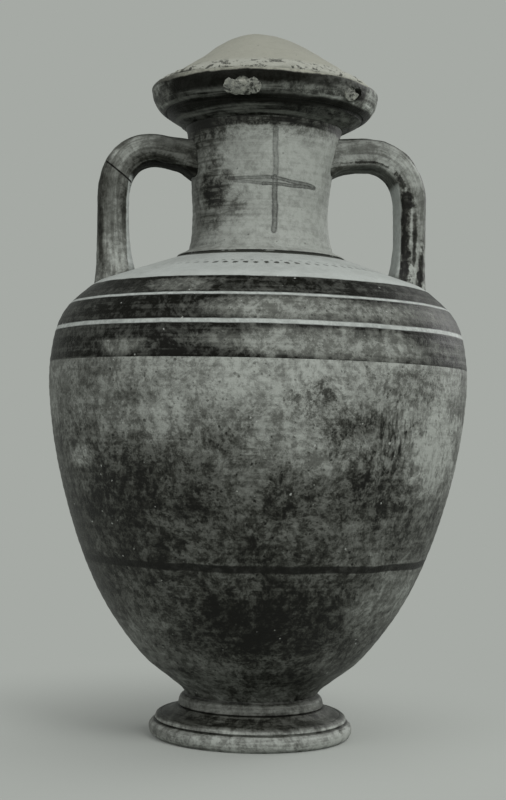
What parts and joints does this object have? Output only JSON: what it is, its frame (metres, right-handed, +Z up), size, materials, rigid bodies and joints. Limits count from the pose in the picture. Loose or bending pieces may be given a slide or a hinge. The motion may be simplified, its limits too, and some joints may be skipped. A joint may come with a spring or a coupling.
{
  "type": "two-handled storage jar",
  "caption": "Tall clay storage jar with ring foot, ovoid belly, sloping shoulder, flared neck, heavy rim, loop handles and a domed lift-off lid.",
  "frame": {"origin": "middle of the ring foot on the ground", "axes": "+Z up along the jar's axis, -Y towards the viewer of the picture, +X to the viewer's right, handles near +X and -X"},
  "size_m": [0.379, 0.379, 0.6381],
  "materials": {
    "foot_clay": "worn turned clay, mottled grey in the print",
    "worn_wash": "thin dark wash, worn and mottled over pale clay",
    "banded_slip": "burnished dark slip bands between thin pale reserved stripes",
    "pale_clay": "smoothed pale clay with brush strokes and dark smudges",
    "dark_slip": "dark burnished slip, chipped at the edges",
    "handle_clay": "pale clay with streaks of worn dark slip",
    "plaster": "smooth matt plaster, crumbly at its edge"
  },
  "bodies": {
    "jar": {"foot": "foot_clay", "base_bowl": "worn_wash", "belly_wall": "worn_wash", "shoulder": "banded_slip", "neck": "pale_clay", "rim": "dark_slip", "rim_plug_front": "plaster", "rim_plug_right": "plaster", "right_handle": "handle_clay", "left_handle_upper": "handle_clay", "left_handle_lower": "handle_clay"},
    "lid": {"lid": "plaster"}
  },
  "joints": [
    {"name": "lid_lift", "type": "slide", "parent": "jar", "child": "lid", "axis": [0, 0, 1], "range_m": [0, 0.15]}
  ]
}
